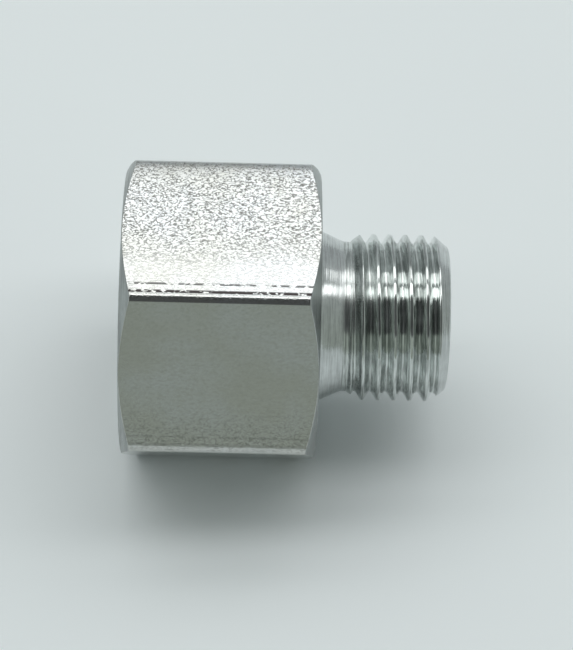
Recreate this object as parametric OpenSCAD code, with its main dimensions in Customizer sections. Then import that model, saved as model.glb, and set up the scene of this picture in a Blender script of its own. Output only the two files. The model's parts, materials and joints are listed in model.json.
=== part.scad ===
// Male to female straight adapter, turned from drawn hexagonal bar: a parallel
// male stud on one end and a parallel female port inside the hexagon.
// The axis lies along X, with the female port at -X and the stud at +X. The
// fitting rests on one flat of its hexagon, and the origin is on that flat.

/* [Hexagon] */
// Width across the flats
hex_af = 27; // [25.5:0.5:32]
// Diameter over the rounded corners of the drawn bar
hex_corner_d = 30.9; // [29.5:0.1:36.9]
// Length of the hexagon, end face to end face
hex_length = 18.3; // [17.5:0.1:26]
// Diameter of the flat ring left on each end face by the chamfer
hex_face_d = 26.7; // [24:0.1:26.9]
// Slope of the hexagon's end chamfers, measured from the end face
hex_chamfer_angle = 27; // [15:1:35]

/* [Male stud] */
// Nominal diameter of the male thread
male_d = 16; // [15.9:0.05:16.3]
// Diameter over the crests as cut, a little under the nominal one
male_crest_d = 15.85; // [15.7:0.01:15.97]
// Pitch of the male thread
male_pitch = 1.5; // [1.4:0.05:1.55]
// Length of the stud, from the hexagon's face to its end
stud_length = 12.2; // [12.2:0.1:14]
// Diameter of the neck where it meets the hexagon
neck_d = 16.3; // [15.8:0.1:18]
// Length of the neck's cone
neck_length = 2.3; // [1.5:0.1:2.4]
// Where the relief behind the thread ends, measured from the hexagon's face
relief_end = 2.85; // [2.5:0.05:2.9]
// Diameter of the relief
relief_d = 14.2; // [14.16:0.02:14.4]
// Slope of the lead-out between the relief and the thread, from the axis
lead_out_angle = 35; // [30:1:45]
// Centre of the first crest, measured from the hexagon's face
first_crest = 3.55; // [3.5:0.05:3.65]
// Diameter at which the end chamfer meets the break on the stud's end
tip_d = 13.85; // [13.4:0.05:14.1]
// Slope of the end chamfer, measured from the axis
tip_chamfer_angle = 40; // [30:1:44]
// Break on the edge of the stud's end
tip_break = 0.2; // [0.1:0.05:0.3]

/* [Female port] */
// Major diameter of the female thread
port_major_d = 20.955; // [20.9:0.005:21.1]
// Minor diameter of the female thread
port_minor_d = 18.631; // [18.631:0.001:18.9]
// Pitch of the female thread, 14 to the inch
port_pitch = 1.814; // [1.8:0.002:1.83]
// Number of crests in the port
port_crests = 6; // [4:1:6]
// Diameter of the countersink at the mouth
port_mouth_d = 21.8; // [21.2:0.1:23]
// Diameter of the thread relief at the bottom of the port
port_relief_d = 21.2; // [21:0.1:22]
// Depth of the port, from the mouth to the end of the thread relief
port_depth = 14; // [13.7:0.1:14.2]
// Radial clearance round the washer in its recess
washer_clearance = 0.05; // [0.02:0.01:0.1]
// Depth of the recess that centres the washer
washer_recess = 0.9; // [0.5:0.1:1.2]

/* [Through bore] */
// Diameter of the bore through the stud
bore_d = 9; // [6:0.5:10]
// Chamfer where the bore opens on the stud's end
bore_chamfer = 0.4; // [0.1:0.1:0.8]

/* [Sealing washer] */
// Outside diameter of the flat washer
washer_d = 17.4; // [16.5:0.1:17.6]
// Inside diameter of the flat washer
washer_bore_d = 10.6; // [10.2:0.1:12]
// Thickness of the flat washer
washer_t = 1.5; // [1:0.1:2]

/* [Hidden] */
$fn = 96;

zinc = [0.74, 0.76, 0.76];
copper = [0.76, 0.44, 0.29];

// Distances along the axis are counted from the mouth of the port.
total_length = hex_length + stud_length;
axis_height = hex_af / 2;
overlap = 1;

hex_face_r = hex_face_d / 2;
hex_blank_r = hex_af / sqrt(3);
hex_chamfer_depth = (hex_blank_r - hex_face_r) * tan(hex_chamfer_angle);

male_r = male_crest_d / 2;
male_flank = 30;
male_root_r = male_d / 2 - 0.61343 * male_pitch;
male_crest_flat = male_pitch / 8 + (male_d - male_crest_d) * tan(male_flank);
male_half_base = male_crest_flat / 2 + (male_r - male_root_r) * tan(male_flank);
male_crests = floor((stud_length - tip_break - first_crest) / male_pitch) + 1;
stud_end = hex_length + stud_length;
tip_chamfer_length = (male_r - tip_d / 2) / tan(tip_chamfer_angle);

port_minor_r = port_minor_d / 2;
port_major_r = port_major_d / 2;
port_flank = 27.5;
port_mouth_r = port_mouth_d / 2;
port_mouth_depth = port_mouth_r - port_minor_r;
port_crest_flat = port_pitch / 6;
port_first_crest = port_mouth_depth + port_crest_flat / 2;
seat_depth = port_depth + washer_recess;
recess_r = washer_d / 2 + washer_clearance;
bore_r = bore_d / 2;

// Puts a shape made along Z, from the mouth of the port at Z = 0, on the axis.
module along_axis() {
    translate([-total_length / 2, 0, axis_height]) rotate([0, 90, 0]) children();
}

// One crest of a thread in section, as [radius, distance] points: a flat of
// the given width at the tip, and flanks down to the base radius.
function crest_points(centre, tip_r, base_r, flat, flank) =
    let (half_flat = flat / 2, half_base = half_flat + abs(tip_r - base_r) * tan(flank))
    [[base_r, centre - half_base], [tip_r, centre - half_flat],
     [tip_r, centre + half_flat], [base_r, centre + half_base]];

// Six flats with rounded corners, chamfered at both ends by a cone.
module hexagon() {
    intersection() {
        rotate([0, 0, 30]) cylinder(h = hex_length, r = hex_blank_r, $fn = 6);
        cylinder(h = hex_length, d = hex_corner_d);
        rotate_extrude() polygon([
            [0, 0], [hex_face_r, 0],
            [hex_blank_r, hex_chamfer_depth],
            [hex_blank_r, hex_length - hex_chamfer_depth],
            [hex_face_r, hex_length], [0, hex_length]]);
    }
}

// The stud before threading: neck cone, relief, thread blank, end chamfer and break.
module stud_envelope() {
    tip_r = tip_d / 2;
    relief_r = relief_d / 2;
    neck_slope = (neck_d / 2 - relief_r) / neck_length;
    lead_out = (male_r - relief_r) / tan(lead_out_angle);
    chamfer_end = stud_end - tip_break;
    rotate_extrude() polygon([
        [0, hex_length - overlap],
        [neck_d / 2 + neck_slope * overlap, hex_length - overlap],
        [relief_r, hex_length + neck_length],
        [relief_r, hex_length + relief_end],
        [male_r, hex_length + relief_end + lead_out],
        [male_r, chamfer_end - tip_chamfer_length],
        [tip_r, chamfer_end],
        [tip_r - tip_break, stud_end],
        [0, stud_end]]);
}

// What the male thread's grooves leave, cut as rings one pitch apart. The first
// groove follows the first crest, so the lead-out rises to it unbroken.
module male_thread_core() {
    start = hex_length + first_crest;
    first_end = start + male_crest_flat / 2;
    crests = [for (i = [1 : male_crests - 1])
        each crest_points(start + i * male_pitch, male_r, male_root_r,
                          male_crest_flat, male_flank)];
    rotate_extrude() polygon(concat(
        [[0, hex_length - 2 * overlap],
         [neck_d, hex_length - 2 * overlap],
         [neck_d, first_end],
         [male_r, first_end],
         [male_root_r, start + male_half_base]],
        crests,
        [[male_root_r, stud_end + overlap],
         [0, stud_end + overlap]]));
}

// The port: countersunk mouth, female thread in rings, thread relief, the
// recess that centres the washer, and the flat seat.
module port_space() {
    last_crest = port_first_crest + (port_crests - 1) * port_pitch;
    half_base = port_crest_flat / 2 + (port_major_r - port_minor_r) * tan(port_flank);
    crests = [for (i = [1 : port_crests - 1])
        each crest_points(port_first_crest + i * port_pitch, port_minor_r, port_major_r,
                          port_crest_flat, port_flank)];
    relief_start = last_crest + half_base + 0.3;
    relief_r = port_relief_d / 2;
    rotate_extrude() polygon(concat(
        [[0, -overlap],
         [port_mouth_r, -overlap],
         [port_mouth_r, 0],
         [port_minor_r, port_mouth_depth],
         [port_minor_r, port_first_crest + port_crest_flat / 2],
         [port_major_r, port_first_crest + half_base]],
        crests,
        [[port_major_r, relief_start],
         [relief_r, relief_start],
         [relief_r, port_depth],
         [recess_r, port_depth],
         [recess_r, seat_depth],
         [0, seat_depth]]));
}

// The bore from the port's seat to the tip, chamfered where it comes out.
module bore_space() {
    rotate_extrude() polygon([
        [0, seat_depth - overlap],
        [bore_r, seat_depth - overlap],
        [bore_r, stud_end - bore_chamfer],
        [bore_r + bore_chamfer, stud_end],
        [bore_r + bore_chamfer, stud_end + overlap],
        [0, stud_end + overlap]]);
}

module fitting_body() {
    color(zinc) along_axis() difference() {
        union() {
            hexagon();
            intersection() {
                stud_envelope();
                male_thread_core();
            }
        }
        port_space();
        bore_space();
    }
}

module sealing_washer() {
    color(copper) along_axis() translate([0, 0, seat_depth - washer_t]) difference() {
        cylinder(h = washer_t, d = washer_d);
        translate([0, 0, -overlap]) cylinder(h = washer_t + 2 * overlap, d = washer_bore_d);
    }
}

fitting_body();
sealing_washer();
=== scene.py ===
"""A male to female straight pipe adapter of zinc-plated steel, on a pale sheet.

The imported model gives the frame, and every size is read from its boxes and mounts
where it has one. The fitting is remade with true helical threads, the rounded
corners of drawn bar and small edge breaks, and the washer with its stamped edges.
Sections are worked out in millimetres, as the distance along the axis from the
mouth of the port and the radius, and are turned into metres in the last step.
"""
import json
import math

import bmesh
import bpy
from mathutils import Matrix, Vector


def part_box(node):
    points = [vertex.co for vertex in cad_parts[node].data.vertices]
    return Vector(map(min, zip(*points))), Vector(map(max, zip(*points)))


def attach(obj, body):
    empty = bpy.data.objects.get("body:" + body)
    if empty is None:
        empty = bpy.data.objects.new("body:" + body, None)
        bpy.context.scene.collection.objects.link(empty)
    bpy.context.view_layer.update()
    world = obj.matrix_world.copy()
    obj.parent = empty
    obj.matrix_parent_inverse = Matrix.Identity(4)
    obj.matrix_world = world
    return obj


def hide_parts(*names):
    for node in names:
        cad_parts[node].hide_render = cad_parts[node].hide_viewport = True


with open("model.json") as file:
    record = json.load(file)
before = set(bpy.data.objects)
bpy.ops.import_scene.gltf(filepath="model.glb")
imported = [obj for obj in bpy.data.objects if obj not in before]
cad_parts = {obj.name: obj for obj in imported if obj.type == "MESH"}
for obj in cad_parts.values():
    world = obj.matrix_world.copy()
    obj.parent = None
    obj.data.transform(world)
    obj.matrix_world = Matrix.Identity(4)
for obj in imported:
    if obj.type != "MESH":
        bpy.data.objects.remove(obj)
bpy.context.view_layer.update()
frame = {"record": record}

MM = 0.001
BODY_LOW, BODY_HIGH = (Vector(corner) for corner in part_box("fitting_body"))
WASHER_LOW, WASHER_HIGH = (Vector(corner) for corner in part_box("sealing_washer"))
MOUNTS = {mount["name"]: mount for mount in frame["record"]["mounts"]}
# Height of the fitting's axis, in metres.
AXIS_Z = (BODY_LOW.z + BODY_HIGH.z) / 2


def mount_radius(name):
    """The radius of a round mount, in millimetres."""
    return MOUNTS[name]["dims"]["r_mm"]


def from_mouth(x):
    """The distance along the axis from the mouth of the port, in millimetres."""
    return (x - BODY_LOW.x) / MM


# ---------------------------------------------------------------- dimensions, mm
# R is a radius. Places along the stud are counted from the hexagon's face, and the
# port's from its mouth.
LENGTH = from_mouth(BODY_HIGH.x)
HEX_LENGTH = from_mouth(MOUNTS["shoulder_face"]["pos_m"][0])
HEX_APOTHEM = (BODY_HIGH.z - BODY_LOW.z) / 2 / MM
# Half the width of a flat, out to the sharp corner.
HALF_FLAT = HEX_APOTHEM * math.tan(math.pi / 6)
HEX_FACE_R = 13.35
HEX_CHAMFER = math.radians(27)
CORNER_ROUND = 1.05
# The flats of drawn bar fall away a little near the corners.
SHOULDER_WIDTH = 2.9
SHOULDER_DROP = 0.04

MALE_R = mount_radius("male_stud")
MALE_NOMINAL_R = 8.0
MALE_PITCH = 1.5
# Depth of a metric thread, over its pitch.
METRIC_DEPTH = 0.61343
MALE_ROOT_R = MALE_NOMINAL_R - METRIC_DEPTH * MALE_PITCH
MALE_FLANK = math.radians(30)
MALE_CREST_HALF = MALE_PITCH / 16 + (MALE_NOMINAL_R - MALE_R) * math.tan(MALE_FLANK)
NECK_R = 8.15
NECK_LENGTH = 2.3
RELIEF_R = 7.1
RELIEF_END = 2.85
LEAD_OUT = math.radians(35)
TIP_R = 6.925
TIP_CHAMFER = math.radians(40)
TIP_BREAK = 0.2
# Length of the stud's end within which the chamfer cuts the thread.
TIP_STRETCH = 2.0
THREAD_END = 11.9
# The middle of the thread's first turn.
FIRST_TURN = 3.55
# A place where the helix has a crest, on the upper back of the stud.
CREST_DISTANCE = 5.14
CREST_ANGLE = math.radians(34.4)

PORT_MINOR_R = mount_radius("female_port")
PORT_MAJOR_R = 10.4775
PORT_PITCH = 1.814
PORT_CREST_HALF = PORT_PITCH / 12
PORT_FLANK = math.radians(27.5)
PORT_MOUTH_R = 10.9
PORT_RELIEF_R = 10.6
PORT_RELIEF_START = 11.86
PORT_DEPTH = 14.0
SEAT_DEPTH = from_mouth(WASHER_HIGH.x)
BORE_R = mount_radius("through_bore")
BORE_CHAMFER = 0.4

WASHER_R = (WASHER_HIGH.z - WASHER_LOW.z) / 2 / MM
WASHER_BORE_R = 5.3
WASHER_CLEARANCE = 0.05
RECESS_R = WASHER_R + WASHER_CLEARANCE

# The break on every turned edge.
EDGE = 0.05
# How far a thread's crest and root are blended into its flanks.
MALE_CREST_BLEND = 0.12
MALE_ROOT_BLEND = 0.16
FEMALE_BLEND = 0.3
# Radii of a row of vertices on each plain end face of the hexagon, and on the seat.
FACE_ROW_R = 12.2
SEAT_ROW_R = 7.0
# Points closer than this are one point, in metres.
WELD = 1e-7


# ------------------------------------------------------------- section arithmetic
def smooth_min(a, b, width):
    """The smaller of two values, blended where they are nearly equal."""
    blend = max(width - abs(a - b), 0.0) / width
    return min(a, b) - blend * blend * width / 4


def smooth_max(a, b, width):
    """The larger of two values, blended where they are nearly equal."""
    return -smooth_min(-a, -b, width)


def from_crest(s, angle, pitch, crest_s, crest_angle):
    """How far a point lies along the axis from the nearest crest of a right-hand helix."""
    turns = (s - crest_s) / pitch - (angle - crest_angle) / math.tau
    return abs(turns - round(turns)) * pitch


def male_profile(s, angle):
    """Radius of the male thread: flat crest, 60 degree flanks, rounded root."""
    d = from_crest(s - HEX_LENGTH, angle, MALE_PITCH, CREST_DISTANCE, CREST_ANGLE)
    flank = MALE_R - (d - MALE_CREST_HALF) / math.tan(MALE_FLANK)
    crest = smooth_min(MALE_R, flank, MALE_CREST_BLEND)
    return smooth_max(crest, MALE_ROOT_R, MALE_ROOT_BLEND)


def male_envelope(s):
    """Radius of the stud's blank over the thread: lead-out, full width, end chamfer."""
    lead_out = RELIEF_R + (s - HEX_LENGTH - RELIEF_END) * math.tan(LEAD_OUT)
    chamfer = TIP_R + (LENGTH - TIP_BREAK - s) * math.tan(TIP_CHAMFER)
    return min(lead_out, MALE_R, chamfer)


def male_radius(s, angle):
    """Radius of the threaded stretch of the stud."""
    return smooth_min(male_profile(s, angle), male_envelope(s), MALE_CREST_BLEND)


def male_finish(s, angle):
    """Cut flanks and crests, and the turned chamfer where it has taken the thread away."""
    chamfered = s > LENGTH - TIP_STRETCH and male_profile(s, angle) > male_envelope(s)
    return TURNED if chamfered else CUT


def female_profile(s, angle):
    """Radius of the female thread: rounded crest and root, 55 degree thread."""
    d = from_crest(s, angle, PORT_PITCH, 0.0, 0.0)
    flank = PORT_MINOR_R + (d - PORT_CREST_HALF) / math.tan(PORT_FLANK)
    crest = smooth_max(PORT_MINOR_R, flank, FEMALE_BLEND)
    return smooth_min(crest, PORT_MAJOR_R, FEMALE_BLEND)


def female_radius(s, angle):
    """Radius of the threaded stretch of the port, opened by its countersink and relief."""
    countersink = PORT_MOUTH_R - s
    relief = PORT_RELIEF_R - (PORT_RELIEF_START - s)
    return max(female_profile(s, angle), countersink, relief)


def hexagon_radius(angle):
    """Radius of the drawn bar at an angle, with its rounded corners and soft shoulders."""
    from_corner = abs((angle / (math.pi / 3) + 0.5) % 1.0 - 0.5) * math.pi / 3
    from_flat = math.pi / 6 - from_corner
    along = HALF_FLAT - HEX_APOTHEM * math.tan(from_flat)
    drop = SHOULDER_DROP * max(1 - along / SHOULDER_WIDTH, 0.0) ** 2
    if along < CORNER_ROUND * math.tan(math.pi / 6):
        centre = (HEX_APOTHEM - CORNER_ROUND) / math.cos(math.pi / 6)
        reach = CORNER_ROUND ** 2 - (centre * math.sin(from_corner)) ** 2
        return centre * math.cos(from_corner) + math.sqrt(max(reach, 0.0)) - drop
    return HEX_APOTHEM / math.cos(from_flat) - drop


def column_angles():
    """Angles of the mesh's columns, closest together round the hexagon's corners."""
    def off_corner(along):
        return math.pi / 6 - math.atan((HALF_FLAT - along) / HEX_APOTHEM)

    round_end = CORNER_ROUND * math.tan(math.pi / 6)
    near_steps = 7
    near_width = 0.3
    near = [round_end * step / near_steps for step in range(1, near_steps + 1)]
    near += [round_end + near_width * step for step in range(1, near_steps + 1)]
    offsets = [off_corner(along) for along in near]
    far_steps = 11
    outer = offsets[-1]
    for step in range(1, far_steps + 1):
        offsets.append(outer + (math.pi / 6 - outer) * step / far_steps)
    half = [0.0] + offsets[:-1]
    sector = half + [math.pi / 6] + [math.pi / 3 - offset for offset in reversed(half[1:])]
    return [corner * math.pi / 3 + offset for corner in range(6) for offset in sector]


ANGLES = column_angles()


# ------------------------------------------------------------------- mesh strips
def lathe(mesh, section, shift=0):
    """Joins the section at each angle to the next one.

    section(angle) gives the points as (distance, radius, finish) rows. A helical
    section starts one pitch further on after a full turn, which is shift rows.
    Each face keeps its length along the section, for the shading normals.
    """
    lengths = mesh.faces.layers.float.get("length") or mesh.faces.layers.float.new("length")
    columns = []
    for angle in ANGLES:
        column = []
        for s, r, finish in section(angle):
            place = Vector((BODY_LOW.x + s * MM, r * MM * math.cos(angle),
                            AXIS_Z + r * MM * math.sin(angle)))
            column.append((mesh.verts.new(place), finish))
        columns.append(column)
    for index, column in enumerate(columns):
        last = index == len(columns) - 1
        following = columns[0][shift:] if last else columns[index + 1]
        for row in range(min(len(column), len(following)) - 1):
            corners = (column[row][0], column[row + 1][0],
                       following[row + 1][0], following[row][0])
            face = mesh.faces.new(corners)
            face[lengths] = (column[row + 1][0].co - column[row][0].co).length
            face.material_index = column[row + 1][1]
            face.smooth = True


def helical_section(start, end, pitch, crest_s, crest_angle, offsets, radius, finish):
    """A section whose rows follow the thread's helix, held between two rings."""
    first = math.floor((start - crest_s) / pitch) - 1
    last = math.ceil((end - crest_s) / pitch) + 1

    def section(angle):
        advance = crest_s + pitch * (angle - crest_angle) / math.tau
        rows = []
        for turn in range(first, last + 1):
            for offset in offsets:
                s = min(max(advance + pitch * turn + offset, start), end)
                rows.append((s, radius(s, angle), finish(s, angle)))
        return rows

    return section


def mirrored(half, pitch):
    """Row offsets over one pitch, from those over half of it."""
    return sorted([-offset for offset in half[1:]] + half) + [pitch / 2]


# Which finish a face has: drawn flats, turned surfaces, cut threads or chamfers.
DRAWN = 0
TURNED = 1
CUT = 2
CHAMFER = 3


def outside_section(angle):
    """From the port's mouth round the hexagon to the relief behind the male thread."""
    hex_r = hexagon_radius(angle)
    depth = (hex_r - HEX_FACE_R) * math.tan(HEX_CHAMFER)
    end = HEX_LENGTH + RELIEF_END
    rows = [(0.0, PORT_MOUTH_R, TURNED), (0.0, PORT_MOUTH_R + EDGE, TURNED)]
    rows += [(0.0, FACE_ROW_R, TURNED), (0.0, HEX_FACE_R - 2 * EDGE, TURNED)]
    rows += [(0.0, HEX_FACE_R - EDGE / 2, TURNED), (EDGE / 4, HEX_FACE_R + EDGE / 4, TURNED)]
    chamfer_parts = (0.15, 0.5, 0.85)
    for part in chamfer_parts:
        rows.append((depth * part, HEX_FACE_R + (hex_r - HEX_FACE_R) * part, CHAMFER))
    rows += [(depth, hex_r - EDGE / 4, CHAMFER), (depth + EDGE, hex_r, DRAWN)]
    stretch = HEX_LENGTH - 2 * depth - 2 * EDGE
    steps = 12
    for step in range(1, steps):
        rows.append((depth + EDGE + stretch * step / steps, hex_r, DRAWN))
    rows += [(HEX_LENGTH - depth - EDGE, hex_r, DRAWN)]
    rows += [(HEX_LENGTH - depth, hex_r - EDGE / 4, DRAWN)]
    for part in reversed(chamfer_parts):
        chamfer_r = HEX_FACE_R + (hex_r - HEX_FACE_R) * part
        rows.append((HEX_LENGTH - depth * part, chamfer_r, CHAMFER))
    rows += [(HEX_LENGTH - EDGE / 4, HEX_FACE_R + EDGE / 4, CHAMFER)]
    rows += [(HEX_LENGTH, HEX_FACE_R - EDGE / 2, TURNED), (HEX_LENGTH, FACE_ROW_R, TURNED)]
    face_row = 0.6
    corner = 0.12
    rows += [(HEX_LENGTH, NECK_R + face_row, TURNED), (HEX_LENGTH, NECK_R + corner, TURNED)]
    rows += [(HEX_LENGTH + EDGE, NECK_R, TURNED)]
    cone = (NECK_R - RELIEF_R) / NECK_LENGTH
    for distance in (0.5, 1.0, 1.5, 2.0):
        rows.append((HEX_LENGTH + distance, NECK_R - cone * distance, TURNED))
    blend = 0.15
    rise = 0.02
    rows += [(HEX_LENGTH + NECK_LENGTH, RELIEF_R + rise, TURNED)]
    rows += [(HEX_LENGTH + NECK_LENGTH + blend, RELIEF_R, CUT)]
    rows += [(end - 2 * EDGE, RELIEF_R, CUT), (end, male_radius(end, angle), CUT)]
    return rows


def inside_section(angle):
    """From the male thread's end over the tip, through the bore to the port's relief."""
    start = HEX_LENGTH + THREAD_END
    bore_edge = BORE_R + BORE_CHAMFER
    tip_edge = TIP_R - TIP_BREAK
    rows = [(start, male_radius(start, angle)), (LENGTH - TIP_BREAK, TIP_R)]
    rows += [(LENGTH - TIP_BREAK / 2, TIP_R - TIP_BREAK / 3)]
    rows += [(LENGTH - EDGE / 2, tip_edge + EDGE / 2), (LENGTH, tip_edge - EDGE)]
    rows += [(LENGTH, (tip_edge + bore_edge) / 2), (LENGTH, bore_edge + EDGE)]
    rows += [(LENGTH - EDGE / 3, bore_edge), (LENGTH - BORE_CHAMFER, BORE_R + EDGE / 3)]
    rows += [(LENGTH - BORE_CHAMFER - EDGE, BORE_R)]
    steps = 8
    for step in range(1, steps):
        rows.append((LENGTH - (LENGTH - SEAT_DEPTH) * step / steps, BORE_R))
    rows += [(SEAT_DEPTH + 2 * EDGE, BORE_R), (SEAT_DEPTH, BORE_R + 2 * EDGE)]
    rows += [(SEAT_DEPTH, SEAT_ROW_R), (SEAT_DEPTH, RECESS_R - EDGE)]
    rows += [(SEAT_DEPTH - EDGE, RECESS_R)]
    rows += [(PORT_DEPTH + EDGE, RECESS_R), (PORT_DEPTH, RECESS_R + EDGE)]
    rows += [(PORT_DEPTH, PORT_RELIEF_R - 3 * EDGE), (PORT_DEPTH - EDGE, PORT_RELIEF_R - EDGE)]
    relief_row = PORT_DEPTH - 1.0
    rows += [(PORT_DEPTH - 3 * EDGE, PORT_RELIEF_R), (relief_row, PORT_RELIEF_R)]
    rows += [(PORT_RELIEF_START, female_radius(PORT_RELIEF_START, angle))]
    return [(s, r, TURNED) for s, r in rows]


def turn_fitting():
    """The fitting's closed mesh, with both threads as true helices."""
    mesh = bmesh.new()
    lathe(mesh, outside_section)
    male_rows = mirrored([0.0, 0.06, 0.11, 0.17, 0.3, 0.44, 0.56, 0.63, 0.69], MALE_PITCH)
    lathe(mesh, helical_section(HEX_LENGTH + RELIEF_END, HEX_LENGTH + THREAD_END,
                                MALE_PITCH, HEX_LENGTH + CREST_DISTANCE, CREST_ANGLE,
                                male_rows, male_radius, male_finish),
          shift=len(male_rows))
    lathe(mesh, inside_section)
    port_rows = mirrored([0.0, 0.1, 0.2, 0.32, 0.5, 0.66, 0.78], PORT_PITCH)
    lathe(mesh, helical_section(0.0, PORT_RELIEF_START, PORT_PITCH, 0.0, 0.0,
                                port_rows, female_radius, lambda s, angle: CUT),
          shift=len(port_rows))
    bmesh.ops.remove_doubles(mesh, verts=mesh.verts, dist=WELD)
    bmesh.ops.dissolve_degenerate(mesh, edges=mesh.edges, dist=WELD)
    bmesh.ops.recalc_face_normals(mesh, faces=mesh.faces)
    return mesh


def stamp_washer():
    """The washer's closed mesh: one rolled edge and one sharper edge, as stamping leaves."""
    front = from_mouth(WASHER_LOW.x)
    back = from_mouth(WASHER_HIGH.x)
    outer = WASHER_R
    inner = WASHER_BORE_R
    roll = 0.22
    roll_steps = 4
    burr = 0.05
    loop = [(front, outer - roll)]
    for step in range(1, roll_steps + 1):
        turn = math.radians(90) * step / roll_steps
        loop.append((front + roll * (1 - math.cos(turn)), outer - roll * (1 - math.sin(turn))))
    loop += [(back - burr, outer), (back, outer - burr)]
    loop += [(back, (outer + inner) / 2), (back, inner + burr), (back - burr, inner)]
    for step in range(roll_steps, 0, -1):
        turn = math.radians(90) * step / roll_steps
        loop.append((front + roll * (1 - math.cos(turn)), inner + roll * (1 - math.sin(turn))))
    loop += [(front, inner + roll), (front, (outer + inner) / 2), (front, outer - roll)]
    mesh = bmesh.new()
    lathe(mesh, lambda angle: [(s, r, 0) for s, r in loop])
    bmesh.ops.remove_doubles(mesh, verts=mesh.verts, dist=WELD)
    bmesh.ops.recalc_face_normals(mesh, faces=mesh.faces)
    return mesh


def shading_normals(mesh):
    """A normal for each vertex, in which long faces outweigh narrow edge breaks."""
    lengths = mesh.faces.layers.float["length"]
    normals = []
    for vertex in mesh.verts:
        total = Vector()
        for face in vertex.link_faces:
            total += face.normal * face[lengths]
        normals.append(total.normalized())
    mesh.faces.layers.float.remove(lengths)
    return normals


def add_piece(name, mesh, node, materials):
    """Makes a piece from a bmesh: it rides on the fitting and replaces its CAD node."""
    data = bpy.data.meshes.new(name)
    normals = shading_normals(mesh)
    mesh.to_mesh(data)
    mesh.free()
    data.normals_split_custom_set_from_vertices(normals)
    for material in materials:
        data.materials.append(material)
    piece = bpy.data.objects.new(name, data)
    bpy.context.scene.collection.objects.link(piece)
    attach(piece, "root")
    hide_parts(node)


# --------------------------------------------------------------------- materials
# How often each pattern varies, in cycles per metre along X, Y and Z.
CRACK_GRAIN = (2500, 3900, 3900)
BREAK_GRAIN = (2300, 3300, 3300)
DASH_GRAIN = (2000, 3500, 3500)
FINE_GRAIN = (2500, 4500, 4500)
HANDLING_GRAIN = (900, 5000, 1800)
# The drawing die's two lines, in millimetres from the sharp corner.
OUTER_LINE = 1.6
INNER_LINE = 0.75
# Turned rings: how often they vary across the cut, and how far they change round it.
RING_GRAIN = 5500.0
RING_DRIFT = 2.2
# Where the turned surfaces are dullest, and how far from there that starts to fade and
# is gone, in metres.
DULLEST_X = BODY_LOW.x + (HEX_LENGTH + FIRST_TURN) * MM
DULL_INNER = 0.0006
DULL_OUTER = 0.0021


class Nodes:
    """A short way to add and join shader nodes."""

    def __init__(self, tree):
        self.tree = tree
        self.tree.nodes.clear()

    def add(self, kind, inputs=None, **settings):
        """Adds a node. Each input is a value or another node's output."""
        node = self.tree.nodes.new(kind)
        for key, value in settings.items():
            setattr(node, key, value)
        for key, value in (inputs or {}).items():
            if isinstance(value, bpy.types.NodeSocket):
                self.tree.links.new(value, node.inputs[key])
            else:
                node.inputs[key].default_value = value
        return node

    def maths(self, operation, a, b=0.0):
        return self.add("ShaderNodeMath", {0: a, 1: b}, operation=operation).outputs[0]

    def plus(self, a, b):
        return self.maths("ADD", a, b)

    def minus(self, a, b):
        return self.maths("SUBTRACT", a, b)

    def times(self, a, b):
        return self.maths("MULTIPLY", a, b)

    def gap(self, a, b):
        """How far apart two values are."""
        return self.maths("ABSOLUTE", self.minus(a, b))

    def noise(self, vector, scale, detail, roughness):
        inputs = {"Vector": vector, "Scale": scale, "Detail": detail, "Roughness": roughness}
        return self.add("ShaderNodeTexNoise", inputs).outputs["Fac"]

    def grain(self, place, factors):
        """Noise that varies at its own rate along each axis."""
        inputs = {0: place, 1: factors}
        stretched = self.add("ShaderNodeVectorMath", inputs, operation="MULTIPLY").outputs[0]
        return self.noise(stretched, 1.0, 2.0, 0.5)

    def remap(self, value, low, high, to_low, to_high):
        """Takes low..high to to_low..to_high, and holds the ends."""
        inputs = {"Value": value, "From Min": low, "From Max": high,
                  "To Min": to_low, "To Max": to_high}
        return self.add("ShaderNodeMapRange", inputs).outputs["Result"]

    def mix(self, factor, a, b):
        """Blends from colour a to colour b."""
        inputs = {0: factor, 6: a, 7: b}
        return self.add("ShaderNodeMix", inputs, data_type="RGBA").outputs[2]


def new_material(name):
    """A material whose node tree is empty, the helper that fills it, and the place shaded."""
    material = bpy.data.materials.new(name)
    material.use_nodes = True
    nodes = Nodes(material.node_tree)
    return material, nodes, nodes.add("ShaderNodeTexCoord").outputs["Object"]


def finish_metal(nodes, colour, roughness, height, depth):
    """Joins a metal's colour, roughness and surface height to the output."""
    bump = nodes.add("ShaderNodeBump", {"Height": height, "Strength": 1.0, "Distance": depth})
    shader = nodes.add("ShaderNodeBsdfPrincipled", {
        "Base Color": colour, "Metallic": 1.0, "Roughness": roughness,
        "Normal": bump.outputs[0]})
    nodes.add("ShaderNodeOutputMaterial", {"Surface": shader.outputs[0]})


def round_the_axis(nodes, place):
    """The place as x, the angle round the fitting's axis and the distance from it."""
    split = nodes.add("ShaderNodeSeparateXYZ", {0: place})
    upward = nodes.minus(split.outputs[2], AXIS_Z)
    across = split.outputs[1]
    angle = nodes.maths("ARCTAN2", upward, across)
    squares = nodes.plus(nodes.times(across, across), nodes.times(upward, upward))
    return split.outputs[0], angle, nodes.maths("SQRT", squares)


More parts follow.
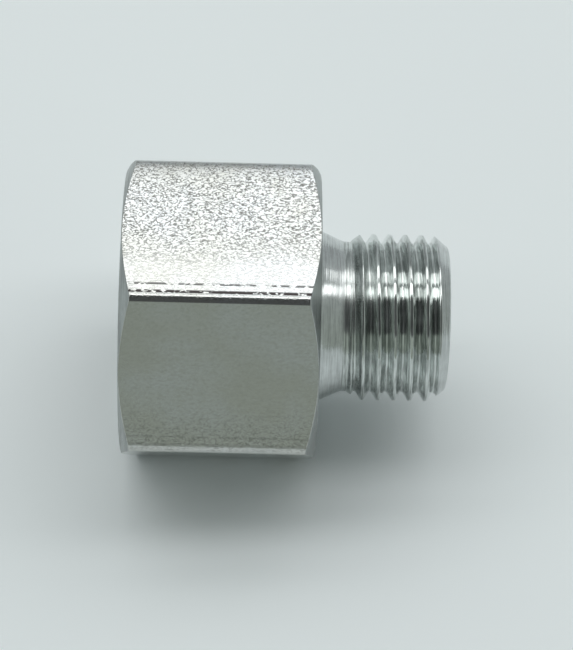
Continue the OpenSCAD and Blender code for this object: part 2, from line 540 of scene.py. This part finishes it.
def drawn_zinc():
    """Clear zinc on the bar's drawn flats: broken hair cracks, lines from the die, stains.

    Every flat has one rubbed edge, along which the two lines run. On the uppermost
    flat the cracks are strong and fade towards that edge. On the other flats they
    are faint, and strongest near it.
    """
    material, nodes, place = new_material("drawn_zinc")
    _, angle, _ = round_the_axis(nodes, place)
    sector = nodes.maths("FRACT", nodes.times(angle, 3 / math.pi))
    slant = nodes.maths("TANGENT", nodes.times(nodes.gap(sector, 0.5), math.pi / 3))
    from_corner = nodes.minus(HALF_FLAT, nodes.times(slant, HEX_APOTHEM))
    rubbed = nodes.remap(sector, 0.49, 0.51, 0.0, 1.0)
    uppermost = nodes.remap(nodes.maths("SINE", angle), 0.86, 0.875, 0.0, 1.0)

    winding = nodes.gap(nodes.grain(place, CRACK_GRAIN), 0.5)
    breaks = nodes.grain(place, BREAK_GRAIN)
    crack = nodes.times(nodes.remap(winding, 0.012, 0.062, 1.0, 0.0),
                        nodes.remap(breaks, 0.36, 0.50, 0.0, 1.0))
    clean_edge = nodes.times(rubbed, nodes.remap(from_corner, 7.2, 3.6, 0.0, 0.75))
    pitted_edge = nodes.times(rubbed, nodes.remap(from_corner, 5.0, 1.2, 0.0, 0.5))
    on_uppermost = nodes.times(nodes.minus(1.0, clean_edge), uppermost)
    on_others = nodes.times(nodes.plus(pitted_edge, 0.12), nodes.minus(1.0, uppermost))
    crack = nodes.times(crack, nodes.plus(on_uppermost, on_others))

    dashes = nodes.grain(place, DASH_GRAIN)
    outer = nodes.remap(nodes.gap(from_corner, OUTER_LINE), 0.14, 0.05, 0.0, 0.8)
    outer = nodes.times(outer, nodes.remap(dashes, 0.56, 0.48, 0.0, 1.0))
    outer = nodes.times(outer, nodes.remap(uppermost, 0.0, 1.0, 0.3, 1.0))
    inner = nodes.remap(nodes.gap(from_corner, INNER_LINE), 0.24, 0.1, 0.0, 1.0)
    inner = nodes.times(inner, nodes.remap(dashes, 0.38, 0.46, 0.0, 1.0))
    inner = nodes.times(inner, nodes.remap(uppermost, 0.0, 1.0, 0.2, 1.0))
    line = nodes.times(nodes.maths("MAXIMUM", outer, inner), rubbed)

    hollow = nodes.times(nodes.maths("MAXIMUM", crack, line), uppermost)
    fine = nodes.grain(place, FINE_GRAIN)
    height = nodes.minus(nodes.times(fine, 0.12), hollow)
    cloud = nodes.noise(place, 260.0, 3.0, 0.6)
    shade = nodes.plus(nodes.remap(cloud, 0.35, 0.65, 0.0, 0.25),
                       nodes.remap(fine, 0.35, 0.65, -0.6, 0.6))
    stain = nodes.remap(nodes.noise(place, 110.0, 2.0, 0.6), 0.40, 0.62, 0.0, 0.6)
    colour = nodes.mix(shade, (0.63, 0.645, 0.655, 1), (0.57, 0.58, 0.565, 1))
    colour = nodes.mix(stain, colour, (0.55, 0.55, 0.50, 1))
    colour = nodes.mix(crack, colour, (0.18, 0.18, 0.165, 1))
    colour = nodes.mix(line, colour, (0.04, 0.035, 0.035, 1))
    roughness = nodes.remap(fine, 0.3, 0.7, 0.14, 0.10)
    finish_metal(nodes, colour, roughness, height, depth=1.2e-5)
    return material


def turned_zinc(name, light, dark, streaks, depth, dullness):
    """Clear zinc on turned surfaces: fine rings round the axis, light and dark by turns.

    It is dullest round the relief and on the first turn of the male thread.
    """
    material, nodes, place = new_material(name)
    distance, angle, radius = round_the_axis(nodes, place)
    ring = nodes.add("ShaderNodeCombineXYZ", {
        0: nodes.times(nodes.minus(distance, radius), RING_GRAIN),
        1: nodes.times(nodes.maths("COSINE", angle), RING_DRIFT),
        2: nodes.times(nodes.maths("SINE", angle), RING_DRIFT)})
    feed = nodes.noise(ring.outputs[0], 1.0, 2.0, 0.6)
    patches = nodes.noise(place, 900.0, 3.0, 0.6)
    height = nodes.plus(feed, nodes.times(patches, 0.2))
    shade = nodes.plus(nodes.remap(feed, 0.42, 0.62, 0.0, streaks),
                       nodes.remap(patches, 0.35, 0.65, 0.0, 1.0 - streaks))
    dulled = nodes.remap(nodes.gap(distance, DULLEST_X), DULL_INNER, DULL_OUTER, 0.14, 0.0)
    roughness = nodes.remap(feed, 0.3, 0.7, dullness - 0.04, dullness + 0.04)
    finish_metal(nodes, nodes.mix(shade, light, dark), nodes.plus(roughness, dulled),
                 height, depth)
    return material


def annealed_copper():
    """Soft copper with a dull bloom and fine handling marks."""
    material, nodes, place = new_material("annealed_copper")
    bloom = nodes.noise(place, 500.0, 4.0, 0.6)
    marks = nodes.grain(place, HANDLING_GRAIN)
    colour = nodes.mix(nodes.remap(bloom, 0.35, 0.65, 0.0, 1.0),
                       (0.80, 0.45, 0.30, 1), (0.58, 0.29, 0.18, 1))
    roughness = nodes.remap(bloom, 0.3, 0.7, 0.25, 0.42)
    finish_metal(nodes, colour, roughness, marks, depth=5e-6)
    return material


def pale_sheet():
    """The floor: a plain pale, faintly blue sheet."""
    material, nodes, place = new_material("pale_sheet")
    mottle = nodes.noise(place, 14.0, 3.0, 0.5)
    colour = nodes.mix(nodes.remap(mottle, 0.3, 0.7, 0.0, 1.0),
                       (0.92, 0.97, 0.98, 1), (0.905, 0.95, 0.965, 1))
    shader = nodes.add("ShaderNodeBsdfPrincipled", {"Base Color": colour, "Roughness": 0.6})
    nodes.add("ShaderNodeOutputMaterial", {"Surface": shader.outputs[0]})
    return material


# ----------------------------------------------------- floor, light, view; metres
FLOOR_SIZE = 0.6
LIGHT_DISTANCE = 1.0
SOFTBOX_TURN = math.radians(6)
FRONT_WALL = (0.33, 0.37, 0.335, 1)
BACK_WALL = (0.45, 0.485, 0.49, 1)
DARK_PATCH = (0.09, 0.095, 0.095, 1)
# Where the middle of the dark patch stands, up from the front horizon, and how far
# from there it starts to fade and is gone.
PATCH_ANGLE = math.radians(57.0)
PATCH_INNER = math.radians(26.5)
PATCH_OUTER = math.radians(29.5)
# The same towards the sides, as the sine of the angle.
PATCH_SIDE_INNER = 0.58
PATCH_SIDE_OUTER = 0.7
# The lights face the middle of the hexagon, and the camera a place nearer the stud.
LIGHT_AIM = Vector((BODY_LOW.x + HEX_LENGTH / 2 * MM, 0.0, AXIS_Z))
CAMERA_AIM = Vector((BODY_LOW.x + 0.01538, -0.00116, AXIS_Z))


def add_floor():
    """The sheet that the fitting lies on."""
    data = bpy.data.meshes.new("floor")
    half = FLOOR_SIZE / 2
    corners = [(-half, -half, 0), (half, -half, 0), (half, half, 0), (-half, half, 0)]
    data.from_pydata(corners, [], [(0, 1, 2, 3)])
    data.materials.append(pale_sheet())
    floor = bpy.data.objects.new("floor", data)
    bpy.context.scene.collection.objects.link(floor)


def add_softbox(name, angle, spread, width, radiance):
    """A long white softbox over the fitting, turned a little off its axis.

    angle is where its middle stands, in degrees up from the front horizon and
    over towards the back, and spread is the angle that it fills.
    """
    direction = Vector((0.0, -math.cos(math.radians(angle)), math.sin(math.radians(angle))))
    data = bpy.data.lights.new(name, "AREA")
    data.shape = "RECTANGLE"
    data.size = width
    data.size_y = 2 * LIGHT_DISTANCE * math.tan(math.radians(spread / 2))
    data.energy = radiance * math.pi * data.size * data.size_y
    light = bpy.data.objects.new(name, data)
    facing = direction.to_track_quat("Z", "X").to_matrix().to_4x4()
    turn = Matrix.Rotation(math.pi / 2 + SOFTBOX_TURN, 4, "Z")
    light.matrix_world = Matrix.Translation(LIGHT_AIM + direction * LIGHT_DISTANCE) @ facing @ turn
    light.visible_camera = False
    bpy.context.scene.collection.objects.link(light)


def add_room():
    """The room: a grey front, a lighter back and a dark patch over the viewer's side."""
    world = bpy.data.worlds.new("room")
    world.use_nodes = True
    nodes = Nodes(world.node_tree)
    direction = nodes.add("ShaderNodeTexCoord").outputs["Generated"]
    split = nodes.add("ShaderNodeSeparateXYZ", {0: direction})
    walls = nodes.mix(nodes.remap(split.outputs[1], -0.8, 0.8, 0.0, 1.0),
                      FRONT_WALL, BACK_WALL)
    forward = nodes.times(split.outputs[1], -1.0)
    angle = nodes.maths("ARCTAN2", split.outputs[2], forward)
    sideways = nodes.maths("ABSOLUTE", split.outputs[0])
    off_middle = nodes.gap(angle, PATCH_ANGLE)
    within = nodes.remap(off_middle, PATCH_OUTER, PATCH_INNER, 0.0, 1.0)
    dark = nodes.times(within, nodes.remap(sideways, PATCH_SIDE_OUTER, PATCH_SIDE_INNER, 0.0, 1.0))
    colour = nodes.mix(dark, walls, DARK_PATCH)
    background = nodes.add("ShaderNodeBackground", {"Color": colour, "Strength": 1.0})
    nodes.add("ShaderNodeOutputWorld", {"Surface": background.outputs[0]})
    bpy.context.scene.world = world


def add_camera():
    """The camera, well above the fitting and looking across its axis."""
    distance = 0.2483
    elevation = math.radians(55.60)
    azimuth = math.radians(1.60)
    roll = math.radians(2.68)
    forward = Vector((math.cos(elevation) * math.sin(azimuth),
                      math.cos(elevation) * math.cos(azimuth), -math.sin(elevation)))
    level = forward.cross(Vector((0, 0, 1))).normalized()
    upward = level.cross(forward)
    right = level * math.cos(roll) + upward * math.sin(roll)
    up = right.cross(forward)
    axes = Matrix((right, up, -forward)).transposed()
    data = bpy.data.cameras.new("camera")
    data.sensor_width = 36.0
    data.lens = 145.0
    data.clip_start = 0.01
    data.clip_end = 20.0
    camera = bpy.data.objects.new("camera", data)
    camera.matrix_world = Matrix.Translation(CAMERA_AIM - forward * distance) @ axes.to_4x4()
    bpy.context.scene.collection.objects.link(camera)
    bpy.context.scene.camera = camera


add_camera()
zinc = [
    drawn_zinc(),
    turned_zinc("turned_zinc", light=(0.65, 0.675, 0.67, 1), dark=(0.44, 0.46, 0.455, 1),
                streaks=0.6, depth=1.3e-5, dullness=0.16),
    turned_zinc("cut_zinc", light=(0.72, 0.755, 0.74, 1), dark=(0.30, 0.32, 0.31, 1),
                streaks=0.85, depth=2.0e-5, dullness=0.11),
    turned_zinc("chamfer_zinc", light=(0.375, 0.40, 0.39, 1), dark=(0.255, 0.27, 0.265, 1),
                streaks=0.6, depth=0.8e-5, dullness=0.30),
]
add_piece("fitting", turn_fitting(), "fitting_body", zinc)
add_piece("copper_washer", stamp_washer(), "sealing_washer", [annealed_copper()])
add_floor()
add_softbox("overhead_softbox", angle=95.3, spread=15.5, width=4.0, radiance=1.9)
add_softbox("back_softbox", angle=120.0, spread=19.0, width=1.85, radiance=1.45)
add_room()
bpy.context.scene.view_settings.view_transform = "Standard"
